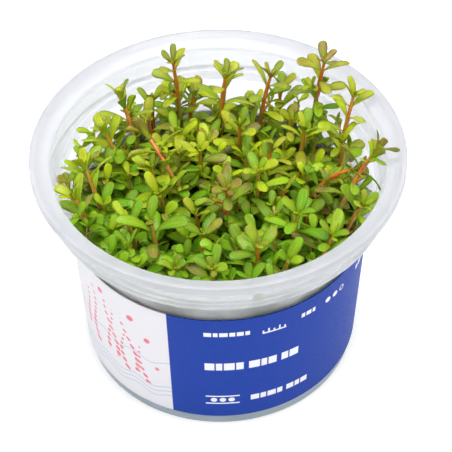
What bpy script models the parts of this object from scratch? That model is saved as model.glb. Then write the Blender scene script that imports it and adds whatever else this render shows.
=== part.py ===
"""Rotala shoots rooted in a disc of gel, in a clear plastic culture cup with a printed band.

Metres, +Z up. The origin is the centre of the cup's foot, on the surface that it stands on.
The front of the band, where its dark part shows most, looks towards -Y.
"""

import math
import random

import bmesh
import bpy
from mathutils import Quaternion, Vector
from mathutils.bvhtree import BVHTree

MM = 0.001

# Cup: one thin moulding, a tapered body under a wide collar with a turned-down rim
RIM_RADIUS = 50.0 * MM
CUP_HEIGHT = 68.8 * MM
FOOT_RADIUS = 38.3 * MM
DRAFT = math.radians(2.4)
WALL = 0.9 * MM
FLOOR_TOP = 2.0 * MM
FOOT_RECESS = 0.8 * MM
FOOT_RING = 7.3 * MM
SHOULDER_LOW = 47.5 * MM
SHOULDER_RISE = 8.1 * MM
SHOULDER_RADIUS = 43.6 * MM
COLLAR_LOW = 57.0 * MM
COLLAR_RADIUS = 46.4 * MM
MOUTH_RADIUS = 44.7 * MM
MOUTH_DROP = 2.6 * MM
SKIRT = 2.85 * MM
TURN_STEPS = 36

# Printed band round the body, and the gel that the shoots grow in
GAP = 0.3 * MM
BAND_LOW = 4.2 * MM
BAND_HIGH = 46.3 * MM
BAND_THICK = 0.3 * MM
GEL_TOP = 14.0 * MM

# Shoots
SHOOT_COUNT = 54
STEM_THICK = 1.2 * MM
STEM_RINGS = (0.55,)
LEANING_STEM_RINGS = (0.25, 0.5)
LEANING = 8.0 * MM
BUD = 0.5 * MM
INTERNODES = (1.5 * MM, 2.9 * MM, 3.9 * MM, 4.6 * MM)
LEAF_LENGTH = 8.0 * MM
LEAF_WIDTH = 3.7 * MM
LEAF_THICK = 0.45 * MM
LEAF_GROWTH = (0.72, 0.95, 1.0, 0.95)
LEAF_RISE = (62.0, 44.0, 28.0, 16.0)
LEAF_ARCH = 24.0
FOOT_SPREAD = 36.0 * MM
CANOPY_RADIUS = 38.0 * MM
CANOPY_HEIGHT = 60.5 * MM
SPACING = 6.8 * MM
SPIRAL_TURNS = 12
SINKS = (0.0, 1.5 * MM, 3.0 * MM, 4.5 * MM, 6.0 * MM)
BEND_DEPTH = 9.0 * MM
GOLDEN_ANGLE = math.pi * (3.0 - math.sqrt(5.0))
SEED = 31

TALL_PAIRS = 4
CANOPY_PAIRS = 3

# Shoots that stand out of the canopy, in millimetres: the tip, the bend below it, and the share of
# the usual leaf length
TALL_SHOOTS = (
    ((29.5, 26.5, 79.0), (27.0, 26.0, 62.0), 0.95),
    ((-12.0, 27.5, 76.0), (-10.5, 29.0, 61.0), 0.85),
    ((2.5, 27.0, 71.5), (0.0, 25.0, 58.0), 0.95),
    ((15.0, 26.0, 72.0), (11.0, 25.0, 58.0), 0.9),
    ((-26.5, 22.0, 68.5), (-22.0, 16.0, 57.0), 0.9),
    ((-20.0, 7.0, 69.5), (-6.5, -10.5, 62.0), 0.85),
    ((-35.5, -2.0, 65.0), (-31.5, -7.0, 56.0), 1.05),
    ((-38.5, -11.0, 63.0), (-33.0, -14.0, 55.0), 1.0),
    ((-31.0, 12.5, 65.0), (-26.5, 10.5, 55.0), 0.95),
    ((37.0, 17.0, 72.0), (34.0, 13.5, 59.0), 0.9),
    ((42.0, -3.0, 71.0), (29.0, -14.5, 60.5), 0.95),
    ((36.0, -6.0, 67.5), (22.5, -3.0, 63.0), 0.8),
    ((2.0, -13.5, 67.0), (2.5, -9.5, 56.0), 0.85),
    ((-17.5, -22.0, 64.5), (-16.0, -23.0, 51.0), 1.1),
    ((-8.5, -25.0, 64.0), (-7.0, -25.5, 53.0), 1.0),
    ((9.5, -30.5, 64.0), (10.0, -29.5, 54.0), 1.0),
    ((20.0, -21.5, 66.0), (20.0, -19.0, 54.0), 1.0),
    ((29.0, -25.5, 61.5), (26.5, -24.0, 53.0), 1.0),
    ((-25.5, -23.5, 61.5), (-23.5, -22.5, 53.0), 0.95),
    ((-11.5, -34.0, 59.5), (-11.5, -31.0, 52.0), 0.9),
    ((-2.0, -35.0, 60.0), (-2.0, -32.0, 52.0), 0.9),
    ((17.5, -32.5, 60.0), (16.0, -29.0, 52.0), 0.9),
    ((-18.0, -1.0, 63.5), (-16.5, 0.0, 55.0), 0.95),
    ((10.5, -6.0, 66.5), (10.5, -4.0, 56.0), 0.95),
    ((23.5, 11.5, 65.0), (23.0, 12.5, 55.0), 1.0),
    ((-5.0, 3.5, 65.0), (-4.5, 6.0, 55.0), 0.95),
    ((6.0, 14.5, 64.0), (6.0, 16.0, 55.0), 0.95),
    ((38.0, -15.5, 62.5), (33.5, -13.0, 55.0), 0.95),
)


def clear_scene():
    """Removes every object that the open file holds."""
    for thing in list(bpy.data.objects):
        bpy.data.objects.remove(thing, do_unlink=True)


def material(name, colour, roughness, metallic=0.0, alpha=1.0):
    """A Principled material of one colour."""
    made = bpy.data.materials.new(name)
    made.use_nodes = True
    shader = made.node_tree.nodes["Principled BSDF"]
    shader.inputs["Base Color"].default_value = (*colour, 1.0)
    shader.inputs["Roughness"].default_value = roughness
    shader.inputs["Metallic"].default_value = metallic
    shader.inputs["Alpha"].default_value = alpha
    made.diffuse_color = (*colour, alpha)
    return made


def add_object(name, bm, surface, sharp_degrees):
    """Puts a closed bmesh into the scene as one smooth-shaded object."""
    bmesh.ops.recalc_face_normals(bm, faces=bm.faces)
    mesh = bpy.data.meshes.new(name)
    bm.to_mesh(mesh)
    bm.free()
    mesh.materials.append(surface)
    mesh.shade_smooth()
    mesh.set_sharp_from_angle(angle=math.radians(sharp_degrees))
    made = bpy.data.objects.new(name, mesh)
    bpy.context.scene.collection.objects.link(made)
    return made


def turned(name, profile, surface, closed):
    """Spins a profile of (radius, height) points about Z. A closed profile makes a ring."""
    bm = bmesh.new()
    verts = [bm.verts.new((radius, 0.0, height)) for radius, height in profile]
    pairs = list(zip(verts, verts[1:]))
    if closed:
        pairs.append((verts[-1], verts[0]))
    edges = [bm.edges.new(pair) for pair in pairs]
    bmesh.ops.spin(
        bm, geom=verts + edges, axis=(0.0, 0.0, 1.0), cent=(0.0, 0.0, 0.0),
        angle=2.0 * math.pi, steps=TURN_STEPS, use_merge=True,
    )
    bmesh.ops.remove_doubles(bm, verts=bm.verts, dist=1e-6)
    return add_object(name, bm, surface, 35.0)


def wall_radius(height):
    """The body's outer radius, which widens upwards by the draft."""
    return FOOT_RADIUS + height * math.tan(DRAFT)


def shoulder(offset, degrees):
    """A point on the quarter-round flare from the body to the collar, offset into the wall."""
    turn = math.radians(degrees)
    start = wall_radius(SHOULDER_LOW) - offset
    reach = SHOULDER_RADIUS - start
    rise = SHOULDER_RISE + offset
    return start + reach * (1.0 - math.cos(turn)), SHOULDER_LOW + rise * math.sin(turn)


def cup_profile():
    """The cup's section: out along the underside, up the outside, over the rim, down the inside."""
    edge = 0.8 * MM
    ring_inner = FOOT_RADIUS - FOOT_RING
    collar_top = CUP_HEIGHT - MOUTH_DROP - 1.1 * MM
    skirt_inner = RIM_RADIUS - 1.1 * MM
    outside = [
        (0.0, FOOT_RECESS),
        (ring_inner, FOOT_RECESS),
        (ring_inner + edge, 0.0),
        (FOOT_RADIUS - edge, 0.0),
        (FOOT_RADIUS, edge),
        (wall_radius(SHOULDER_LOW), SHOULDER_LOW),
        shoulder(0.0, 50.0),
        shoulder(0.0, 90.0),
        (COLLAR_RADIUS, COLLAR_LOW),
        (COLLAR_RADIUS, COLLAR_LOW + edge),
        (COLLAR_RADIUS - 0.3 * MM, COLLAR_LOW + 1.5 * MM),
        (COLLAR_RADIUS - 0.1 * MM, collar_top),
        (skirt_inner, CUP_HEIGHT - 2.0 * MM),
        (skirt_inner, CUP_HEIGHT - SKIRT),
        (RIM_RADIUS, CUP_HEIGHT - SKIRT),
        (RIM_RADIUS, CUP_HEIGHT - 0.4 * MM),
        (RIM_RADIUS - 0.4 * MM, CUP_HEIGHT),
    ]
    inside = [
        (MOUTH_RADIUS + 0.3 * MM, CUP_HEIGHT - MOUTH_DROP + 0.15 * MM),
        (MOUTH_RADIUS, CUP_HEIGHT - MOUTH_DROP - 0.3 * MM),
        (MOUTH_RADIUS, COLLAR_LOW + 1.0 * MM),
        shoulder(WALL, 90.0),
        shoulder(WALL, 50.0),
        (wall_radius(SHOULDER_LOW) - WALL, SHOULDER_LOW),
        (wall_radius(FLOOR_TOP) - WALL, FLOOR_TOP + edge),
        (wall_radius(FLOOR_TOP) - WALL - edge, FLOOR_TOP),
        (0.0, FLOOR_TOP),
    ]
    return outside + inside


def make_cup(surface):
    return turned("cup", cup_profile(), surface, closed=False)


def make_band(surface):
    """The printed band, a thin ring that follows the body's draft."""
    low, high = wall_radius(BAND_LOW) + GAP, wall_radius(BAND_HIGH) + GAP
    profile = [
        (low, BAND_LOW),
        (low + BAND_THICK, BAND_LOW),
        (high + BAND_THICK, BAND_HIGH),
        (high, BAND_HIGH),
    ]
    return turned("printed_band", profile, surface, closed=True)


def make_gel(surface):
    """The gel, poured level in the bottom of the cup."""
    low, high = FLOOR_TOP + GAP, GEL_TOP
    round_off = 1.2 * MM
    profile = [
        (0.0, low),
        (wall_radius(low) - WALL - GAP - round_off, low),
        (wall_radius(low) - WALL - GAP, low + round_off),
        (wall_radius(high) - WALL - GAP, high),
        (0.0, high),
    ]
    return turned("growing_gel", profile, surface, closed=False)


def shoot_plans():
    """Yields the tip, bend, leaf share and pair count of each shoot: tall ones, then the canopy.

    Canopy shoots stand on a sunflower spiral that starts again, turned a little, when it is full.
    """
    for tip, bend, share in TALL_SHOOTS:
        yield Vector(tip) * MM, Vector(bend) * MM, share, TALL_PAIRS
    draw = random.Random(SEED)
    for step in range(SPIRAL_TURNS * SHOOT_COUNT):
        radius = CANOPY_RADIUS * math.sqrt((step % SHOOT_COUNT + 0.5) / SHOOT_COUNT)
        angle = step * GOLDEN_ANGLE + 0.4 * (step // SHOOT_COUNT)
        x = radius * math.cos(angle) + draw.uniform(-1.5, 1.5) * MM
        y = radius * math.sin(angle) + draw.uniform(-1.5, 1.5) * MM
        z = CANOPY_HEIGHT + draw.uniform(-2.5, 2.5) * MM
        lean = Vector((draw.uniform(-3.0, 3.0) * MM, draw.uniform(-3.0, 3.0) * MM, BEND_DEPTH))
        tip = Vector((x, y, z))
        yield tip, tip - lean, draw.uniform(0.85, 1.05), CANOPY_PAIRS


class Stem:
    """A stem's centre line: up out of the gel, through the bend and on to the tip."""

    SAMPLES = 40

    def __init__(self, tip, bend):
        foot = Vector((bend.x, bend.y, 0.0)) * 0.92
        if foot.length > FOOT_SPREAD:
            foot *= FOOT_SPREAD / foot.length
        foot.z = GEL_TOP + GAP
        rise = foot + Vector((0.0, 0.0, 0.5 * (bend.z - foot.z)))
        self.points = [self.bezier(foot, rise, bend, tip, i / self.SAMPLES)
                       for i in range(self.SAMPLES + 1)]
        self.points.reverse()
        self.lengths = [0.0]
        for near, far in zip(self.points, self.points[1:]):
            self.lengths.append(self.lengths[-1] + (far - near).length)

    @staticmethod
    def bezier(a, b, c, d, t):
        u = 1.0 - t
        return u * u * u * a + 3.0 * u * u * t * b + 3.0 * u * t * t * c + t * t * t * d

    def at(self, distance):
        """The point that lies this far below the tip, and the upward direction there."""
        distance = min(max(distance, 0.0), self.lengths[-1])
        i = 0
        while i < self.SAMPLES - 1 and self.lengths[i + 1] < distance:
            i += 1
        part = (distance - self.lengths[i]) / (self.lengths[i + 1] - self.lengths[i])
        point = self.points[i].lerp(self.points[i + 1], part)
        return point, (self.points[i] - self.points[i + 1]).normalized()


def carried_side(side, upward):
    """The side direction turned square to a new upward direction, as a frame is carried along."""
    return (side - upward * side.dot(upward)).normalized()


def leaf_shape(root, upward, outward, length, width, rise, swing, margin=0.0):
    """Outline (near left, far left, far right, near right), keel point and normal of one leaf.

    The blade leaves the stem at the angle rise, is widest at its middle and arches over past it.
    """
    outward = Quaternion(upward, math.radians(swing)) @ outward
    across = upward.cross(outward).normalized()

    def heading(degrees):
        turn = math.radians(degrees)
        return outward * math.cos(turn) + upward * math.sin(turn)

    first, second = heading(rise), heading(rise - LEAF_ARCH)
    middle = root + first * (0.56 * length)
    end = middle + second * (0.42 * length + margin)
    half = 0.5 * width + margin
    normal = across.cross(first).normalized()
    if normal.dot(upward) < 0.0:
        normal.negate()
    outline = [middle + across * half, end + across * (0.6 * half),
               end - across * (0.6 * half), middle - across * half]
    return outline, middle - normal * LEAF_THICK, normal


def leaf_probe(root, shape, margin, start_share):
    """A closed box round a leaf, a little larger than it and open of its foot, for clash tests."""
    outline, _, normal = shape
    middle = 0.5 * (outline[0] + outline[3])
    start = root.lerp(middle, start_share)
    side = (outline[0] - outline[3]) * 0.2
    ring = [start + side, *outline, start - side]
    top = [point + normal * margin for point in ring]
    low = [point - normal * (LEAF_THICK + margin) for point in ring]
    count = len(ring)
    faces = [tuple(range(count)), tuple(range(2 * count - 1, count - 1, -1))]
    faces += [(i, (i + 1) % count, (i + 1) % count + count, i + count) for i in range(count)]
    return BVHTree.FromPolygons(top + low, faces)


def add_leaf(bm, low, high, shape):
    """Grows a leaf out of one face of the stem, between its lower and upper pairs of corners."""
    outline, keel_point, _ = shape
    near_a, far_a, far_b, near_b = [bm.verts.new(point) for point in outline]
    keel = bm.verts.new(keel_point)
    low_a, low_b = low
    high_a, high_b = high
    for face in (
        (high_a, high_b, near_b, near_a), (near_a, near_b, far_b, far_a),
        (high_a, near_a, low_a), (low_b, near_b, high_b),
        (low_a, near_a, keel), (near_a, far_a, keel), (far_a, far_b, keel),
        (far_b, near_b, keel), (near_b, low_b, keel), (low_b, low_a, keel),
    ):
        bm.faces.new(face)


def stem_tube(bm, rings):
    """Joins rings of four corners, top to bottom, and returns the side faces of each stretch."""
    stretches = []
    for upper, lower in zip(rings, rings[1:]):
        faces = [bm.faces.new((upper[i], upper[(i + 1) % 4], lower[(i + 1) % 4], lower[i]))
                 for i in range(4)]
        stretches.append(faces)
    return stretches


def ring_corners(point, side, upward, half):
    """The four corners of the stem's square section, whose first face looks along side."""
    other = upward.cross(side)
    return [point + (side * a + other * b) * half for a, b in ((1, -1), (1, 1), (-1, 1), (-1, -1))]


def tree_of(bm):
    bm.verts.index_update()
    return BVHTree.FromBMesh(bm)


class Shoot:
    """One shoot: a square stem, a bud, and leaf pairs set crosswise up its top."""

    def __init__(self, number, tip, bend, share, pairs, sink):
        self.draw = random.Random(SEED * 100 + number)
        lowered = Vector((0.0, 0.0, sink))
        self.stem = Stem(tip - lowered, bend - lowered)
        self.leans = (tip - bend).to_2d().length > LEANING
        self.share = share
        self.pairs = pairs
        self.turn = self.draw.uniform(0.0, 360.0)
        self.stretch = self.draw.uniform(0.9, 1.15)

    def sections(self):
        """Ring distances below the tip, each with its stem thickness, and where the leaves sit."""
        sections, nodes, distance = [], [], 0.0
        for pair in range(self.pairs):
            distance += INTERNODES[pair] * self.stretch
            thick = STEM_THICK * (0.7 + 0.1 * pair)
            nodes.append((len(sections), distance))
            sections += [(distance - 0.5 * thick, thick), (distance + 0.5 * thick, thick)]
        whole = self.stem.lengths[-1]
        for share in LEANING_STEM_RINGS if self.leans else STEM_RINGS:
            sections.append((distance + (whole - distance) * share, STEM_THICK))
        sections.append((whole, STEM_THICK))
        return sections, nodes

    def build(self, clear):
        """The shoot's bmesh, with each leaf that finds free space at one of a few angles."""
        bm = bmesh.new()
        sections, nodes = self.sections()
        rings, frames = [], []
        _, upward = self.stem.at(0.0)
        side = carried_side(Vector((1.0, 0.0, 0.0)), upward)
        side = Quaternion(upward, math.radians(self.turn)) @ side
        for distance, thick in sections:
            point, upward = self.stem.at(distance)
            side = carried_side(side, upward)
            frames.append((point, side.copy(), upward))
            rings.append([bm.verts.new(p) for p in ring_corners(point, side, upward, 0.5 * thick)])
        stretches = stem_tube(bm, rings)
        bud = bm.verts.new(self.stem.at(0.0)[0] + frames[0][2] * BUD)
        for i in range(4):
            bm.faces.new((bud, rings[0][(i + 1) % 4], rings[0][i]))
        bm.faces.new(rings[-1])
        own = []
        for pair, (ring, distance) in enumerate(nodes):
            point, upward = self.stem.at(distance)
            side = carried_side(frames[ring][1], upward)
            for half in (0, 1):
                self.grow_leaf(bm, rings, stretches, ring, pair, half, point, side, upward, clear, own)
        return bm

    def grow_leaf(self, bm, rings, stretches, ring, pair, half, point, side, upward, clear, own):
        """Draws one leaf's angles, tries it there and at a few nearby ones, and adds it."""
        face = (pair % 2) + 2 * half
        outward = Quaternion(upward, math.radians(90.0 * face)) @ side
        root = point + outward * (0.5 * STEM_THICK * (0.7 + 0.1 * pair))
        growth = LEAF_GROWTH[pair] * self.share * self.draw.uniform(0.88, 1.1)
        width = LEAF_WIDTH * self.draw.uniform(0.85, 1.12) * (0.5 + 0.5 * growth)
        rise = LEAF_RISE[pair] + self.draw.uniform(-12.0, 12.0)
        swing = self.draw.uniform(-14.0, 14.0)
        for size in (1.0, 0.85, 0.7):
            for more_rise, more_swing in (
                (0, 0), (14, 0), (-14, 0), (0, 18), (0, -18), (26, 0), (-26, 0), (14, 24), (14, -24)
            ):
                angle = min(rise + more_rise, 74.0)
                length = LEAF_LENGTH * growth * size
                args = (root, upward, outward, length, width * size, angle, swing + more_swing)
                shape, wide = leaf_shape(*args), leaf_shape(*args, margin=GAP)
                if not clear(leaf_probe(root, wide, GAP, 0.05)):
                    continue
                probe = leaf_probe(root, shape, 0.05 * MM, 0.4)
                if any(probe.overlap(other) for other in own):
                    continue
                own.append(probe)
                bm.faces.remove(stretches[ring][face])
                upper, lower = rings[ring], rings[ring + 1]
                a, b = face, (face + 1) % 4
                add_leaf(bm, (lower[b], lower[a]), (upper[b], upper[a]), shape)
                return

    def stem_probe(self):
        """A slightly thicker stem, from the gel to the bud, for clash tests."""
        bm = bmesh.new()
        side = Vector((1.0, 0.0, 0.0))
        rings = []
        whole = self.stem.lengths[-1]
        for i in range(9):
            point, upward = self.stem.at(whole * i / 8.0)
            side = carried_side(side, upward)
            corners = ring_corners(point, side, upward, 0.5 * STEM_THICK + GAP)
            rings.append([bm.verts.new(corner) for corner in corners])
        stem_tube(bm, rings)
        bm.faces.new(rings[-1])
        bm.faces.new(rings[0])
        tree = tree_of(bm)
        bm.free()
        return tree


def mesh_tree(thing):
    """The clash tree of a finished object."""
    bm = bmesh.new()
    bm.from_mesh(thing.data)
    tree = tree_of(bm)
    bm.free()
    return tree


def make_shoots(cup, surface):
    """Grows the shoots one after another, each clear of the cup and of those before it."""
    placed, tips = [mesh_tree(cup)], []

    def clear(probe):
        return not any(probe.overlap(tree) for tree in placed)

    for tip, bend, share, pairs in shoot_plans():
        crowded = any((tip - other).to_2d().length < SPACING for other in tips)
        if len(tips) == SHOOT_COUNT or (pairs == CANOPY_PAIRS and crowded):
            continue
        for sink in SINKS:
            shoot = Shoot(len(tips) + 1, tip, bend, share, pairs, sink)
            if clear(shoot.stem_probe()):
                break
        else:
            continue
        tips.append(tip)
        bm = shoot.build(clear)
        placed.append(tree_of(bm))
        add_object(f"rotala_shoot_{len(tips):02d}", bm, surface, 50.0)


def main():
    clear_scene()
    cup = make_cup(material("clear_plastic", (0.86, 0.87, 0.93), 0.35, alpha=0.55))
    make_band(material("printed_paper", (0.05, 0.11, 0.38), 0.4))
    make_gel(material("gel", (0.62, 0.60, 0.50), 0.25, alpha=0.8))
    make_shoots(cup, material("rotala", (0.23, 0.42, 0.04), 0.45))


main()
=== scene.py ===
"""Rotala shoots in a culture cup: the finish of the cup, its printed band, the gel and the shoots.

The file is laid out as an add-on and is run as a script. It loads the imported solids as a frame,
puts a finely made piece in each solid's place, and adds the floor, the light and the camera.
Metres, +Z up, the origin at the centre of the cup's foot.
"""

import math
import random
from collections import namedtuple

import bpy
import numpy as np
from bpy.props import FloatProperty, FloatVectorProperty, IntProperty, PointerProperty
from mathutils import Matrix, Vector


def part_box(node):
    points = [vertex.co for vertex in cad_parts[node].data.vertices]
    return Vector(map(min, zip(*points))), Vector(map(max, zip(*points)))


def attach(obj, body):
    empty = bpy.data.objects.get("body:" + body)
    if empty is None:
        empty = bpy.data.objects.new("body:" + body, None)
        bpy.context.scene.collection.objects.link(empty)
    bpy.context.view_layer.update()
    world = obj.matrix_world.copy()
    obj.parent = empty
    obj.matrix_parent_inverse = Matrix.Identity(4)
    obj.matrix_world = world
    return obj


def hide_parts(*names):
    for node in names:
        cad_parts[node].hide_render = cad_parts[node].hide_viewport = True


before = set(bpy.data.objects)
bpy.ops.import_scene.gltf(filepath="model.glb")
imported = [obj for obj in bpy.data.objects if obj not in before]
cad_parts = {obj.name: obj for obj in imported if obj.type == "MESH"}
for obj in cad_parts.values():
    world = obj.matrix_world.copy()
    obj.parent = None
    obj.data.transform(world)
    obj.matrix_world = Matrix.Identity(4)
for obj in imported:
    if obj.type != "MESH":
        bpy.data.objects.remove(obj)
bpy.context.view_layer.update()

bl_info = {
    "name": "Rotala in a culture cup",
    "version": (1, 0, 0),
    "blender": (4, 5, 0),
    "location": "View3D > Sidebar > Rotala",
    "description": "Makes a translucent culture cup of rotala with its band, gel and shoots",
    "category": "Add Mesh",
}

MM = 0.001
CUP_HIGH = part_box("cup")[1]
BAND_LOW, BAND_HIGH = (corner[2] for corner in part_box("printed_band"))
GEL_LOW, GEL_HIGH = (corner[2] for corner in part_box("growing_gel"))

# The cup's section, as in the solids
RIM_RADIUS = CUP_HIGH[0]
CUP_HEIGHT = CUP_HIGH[2]
FOOT_RADIUS = 38.3 * MM
DRAFT = math.radians(2.4)
WALL = 0.9 * MM
FLOOR_TOP = 2.0 * MM
FOOT_RECESS = 0.8 * MM
FOOT_RING = 7.3 * MM
SHOULDER_LOW = 47.5 * MM
SHOULDER_RISE = 8.1 * MM
SHOULDER_RADIUS = 43.6 * MM
COLLAR_LOW = 57.0 * MM
COLLAR_RADIUS = 46.4 * MM
MOUTH_RADIUS = 44.7 * MM
MOUTH_DROP = 2.6 * MM
SKIRT = 2.85 * MM
RIM_THICK = 1.1 * MM
BEVEL = 0.8 * MM
CORNER = 0.45 * MM
GAP = 0.3 * MM
BAND_THICK = 0.3 * MM

# Heights between which the plastic changes: where the painted shade at the foot ends, where the
# milk begins, and where the collar's see-through part begins and ends
FOOT_SHADE_HEIGHTS = 4.4 * MM, 6.0 * MM
MILKY = COLLAR_LOW - 5.0 * MM, CUP_HEIGHT - 2.0 * MM
SHEER_LOW = COLLAR_LOW + 1.9 * MM, COLLAR_LOW + 2.1 * MM
SHEER_HIGH = CUP_HEIGHT - 3.6 * MM, CUP_HEIGHT - 2.8 * MM

# The band's map counts millimetres at this radius; the print's blocks and edges are in them too
MAP_RADIUS = 40.0
BLOCK_GAP = 0.42
SOFT_EDGE = 0.08

# The shoots, as in the solids; the sways and the lift are the most that a draw adds each way, in
# millimetres
SEED = 31
SHOOT_COUNT = 54
STEM_THICK = 1.2 * MM
STEM_SAMPLES = 40
BUD = 0.5 * MM
INTERNODES = (1.5 * MM, 2.9 * MM, 3.9 * MM, 4.6 * MM)
STRETCH = (0.9, 1.15)
LEAF_LENGTH = 8.0 * MM
LEAF_WIDTH = 3.7 * MM
LEAF_GROWTH = (0.72, 0.95, 1.0, 0.95)
LEAF_RISE = (62.0, 44.0, 28.0, 16.0)
LEAF_ARCH = 24.0
LEAF_PARTS = (0.56, 0.42)
STEEPEST = 74.0
FOOT_SPREAD = 36.0 * MM
FOOT_PULL = 0.92
CANOPY_RADIUS = 38.0 * MM
CANOPY_HEIGHT = 60.5 * MM
TIP_SWAY = 1.5
TIP_LIFT = 2.5
BEND_SWAY = 3.0
BEND_DEPTH = 9.0 * MM
GOLDEN_ANGLE = math.pi * (3.0 - math.sqrt(5.0))
SPIRAL_TURNS = 12
TURN_SHIFT = 0.4
SINKS = (0.0, 1.5 * MM, 3.0 * MM, 4.5 * MM, 6.0 * MM)
TALL_PAIRS = 4
CANOPY_PAIRS = 3
LEAF_TRIES = [
    (size, rise, swing)
    for size in (1.0, 0.85, 0.7)
    for rise, swing in (
        (0, 0), (14, 0), (-14, 0), (0, 18), (0, -18), (26, 0), (-26, 0), (14, 24), (14, -24)
    )
]
SAME_PLACE = 0.02 * MM

# What the drawn shoots have beyond the solids: leaves further down, side sprigs and branches. Each
# kind of draw counts from its own seed, so that a change to one leaves the others alone
SEED_LOWER, SEED_BRANCHES, SEED_BUDS, SEED_BLADES, SEED_SPOTS = 9000, 4000, 5000, 700, 88
SLIM = 0.9
WALL_CLEARANCE = 0.2 * MM
LOWER_REACH = 27.0 * MM
LOWER_FOOT = 6.0 * MM
WITHERED = 0.85
WITHERED_SHARE = 0.07
SPRIG_SHARE = 0.45
BRANCH_SPOTS = 330
BRANCH_RADIUS = 40.5 * MM
BRANCH_SPACING = 4.3 * MM
BRANCH_DEPTH = 20.0 * MM
BRANCH_LEAFED = 19.0 * MM
BRANCH_GROWTH = (0.7, 0.95, 1.08, 1.1, 1.1)
BRANCH_RISE = (60.0, 42.0, 26.0, 16.0, 8.0)
TUBE_SIDES = 8
TALLEST = 1
TALLEST_SQUASH = 0.16

# A blade's grid: how far along it each ring lies, and how far across and on which side of its
# thickness each point of a ring lies
STATIONS = np.array([0.0, 0.14, 0.36, 0.6, 0.8, 0.93, 0.985])
CROSSING = np.array([-1.0, -0.5, 0.0, 0.5, 1.0, 0.0])
UPPER = np.array([0.0, 1.0, 0.4, 1.0, 0.0, -1.4])

# Colours that no setting changes; where there are two, noise goes from one to the other
# Painted shade: the blue-grey laid into the plastic at the foot
FOOT_PAINTED_SHADE = (0.30, 0.40, 0.47)
MILKY_GLOW = (0.90, 0.91, 0.96)
SHEER = (0.97, 0.98, 1.0)
# The gel's greys are partly its own and partly painted shade, darker so that the cup's foot looks
# shaded
GEL_GREYS_AND_PAINTED_SHADE = (0.17, 0.23, 0.28), (0.24, 0.31, 0.36)
DARK_TOP_BROWNS = (0.060, 0.034, 0.012), (0.12, 0.085, 0.022)
ROOT_THREAD = (0.32, 0.22, 0.10)
CORAL_SHADES = (0.66, 0.075, 0.12), (0.70, 0.20, 0.24)
RIPPLE_BLUE = (0.36, 0.43, 0.58)
MARK_WHITE = (0.72, 0.73, 0.77)
UNCOATED_SHADES = (0.82, 0.82, 0.83), (0.88, 0.88, 0.89)
FRESH_LEAF = (0.10, 0.44, 0.008)
YELLOWED_LEAF = (0.42, 0.46, 0.01)
LEAF_RIB = (0.60, 0.66, 0.08)
LEAF_EDGE = (0.58, 0.60, 0.08)
LEAF_VEIN = (0.52, 0.62, 0.06)
CELL_SHADE = (0.01, 0.05, 0.0)
WITHERED_LEAF = (0.20, 0.085, 0.025)
LEAF_GLOW = (0.75, 0.90, 0.03)
OLIVE_SHADES = (0.16, 0.20, 0.02), (0.26, 0.24, 0.04)
AMBER_STEM = (0.75, 0.30, 0.03)
FRESH_STEM = (0.48, 0.33, 0.03)
FLOOR_SHADES = (0.90, 0.90, 0.90), (0.92, 0.92, 0.92)

# Shoots that stand out of the canopy, in millimetres: the tip, the bend below it, the share of the
# usual leaf length, and how red the shoot is
TALL_SHOOTS = (
    ((29.5, 26.5, 79.0), (27.0, 26.0, 62.0), 0.95, 0.9),
    ((-12.0, 27.5, 76.0), (-10.5, 29.0, 61.0), 0.85, 0.6),
    ((2.5, 27.0, 71.5), (0.0, 25.0, 58.0), 0.95, 0.45),
    ((15.0, 26.0, 72.0), (11.0, 25.0, 58.0), 0.9, 0.6),
    ((-26.5, 22.0, 68.5), (-22.0, 16.0, 57.0), 0.9, 0.35),
    ((-20.0, 7.0, 69.5), (-6.5, -10.5, 62.0), 0.85, 0.95),
    ((-35.5, -2.0, 65.0), (-31.5, -7.0, 56.0), 1.05, 0.2),
    ((-38.5, -11.0, 63.0), (-33.0, -14.0, 55.0), 1.0, 0.3),
    ((-31.0, 12.5, 65.0), (-26.5, 10.5, 55.0), 0.95, 0.2),
    ((37.0, 17.0, 72.0), (34.0, 13.5, 59.0), 0.9, 0.35),
    ((42.0, -3.0, 71.0), (29.0, -14.5, 60.5), 0.95, 0.75),
    ((36.0, -6.0, 67.5), (22.5, -3.0, 63.0), 0.8, 0.8),
    ((2.0, -13.5, 67.0), (2.5, -9.5, 56.0), 0.85, 0.9),
    ((-17.5, -22.0, 64.5), (-16.0, -23.0, 51.0), 1.1, 0.15),
    ((-8.5, -25.0, 64.0), (-7.0, -25.5, 53.0), 1.0, 0.35),
    ((9.5, -30.5, 64.0), (10.0, -29.5, 54.0), 1.0, 0.45),
    ((20.0, -21.5, 66.0), (20.0, -19.0, 54.0), 1.0, 0.1),
    ((29.0, -25.5, 61.5), (26.5, -24.0, 53.0), 1.0, 0.25),
    ((-25.5, -23.5, 61.5), (-23.5, -22.5, 53.0), 0.95, 0.2),
    ((-11.5, -34.0, 59.5), (-11.5, -31.0, 52.0), 0.9, 0.3),
    ((-2.0, -35.0, 60.0), (-2.0, -32.0, 52.0), 0.9, 0.3),
    ((17.5, -32.5, 60.0), (16.0, -29.0, 52.0), 0.9, 0.2),
    ((-18.0, -1.0, 63.5), (-16.5, 0.0, 55.0), 0.95, 0.2),
    ((10.5, -6.0, 66.5), (10.5, -4.0, 56.0), 0.95, 0.15),
    ((23.5, 11.5, 65.0), (23.0, 12.5, 55.0), 1.0, 0.2),
    ((-5.0, 3.5, 65.0), (-4.5, 6.0, 55.0), 0.95, 0.2),
    ((6.0, 14.5, 64.0), (6.0, 16.0, 55.0), 0.95, 0.35),
    ((38.0, -15.5, 62.5), (33.5, -13.0, 55.0), 0.95, 0.25),
)

# The photograph's camera: its focal length in pixels of the square frame, its distance from the
# rim's centre in rim radii, and its angles
IMAGE_SIDE = 452
FOCAL_PIXELS = 1600.0
CAMERA_DISTANCE = 8.47
CAMERA_ELEVATION = 43.21
CAMERA_YAW, CAMERA_PITCH, CAMERA_ROLL = -0.24, -2.78, 0.92
SENSOR_WIDTH = 36.0

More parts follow.
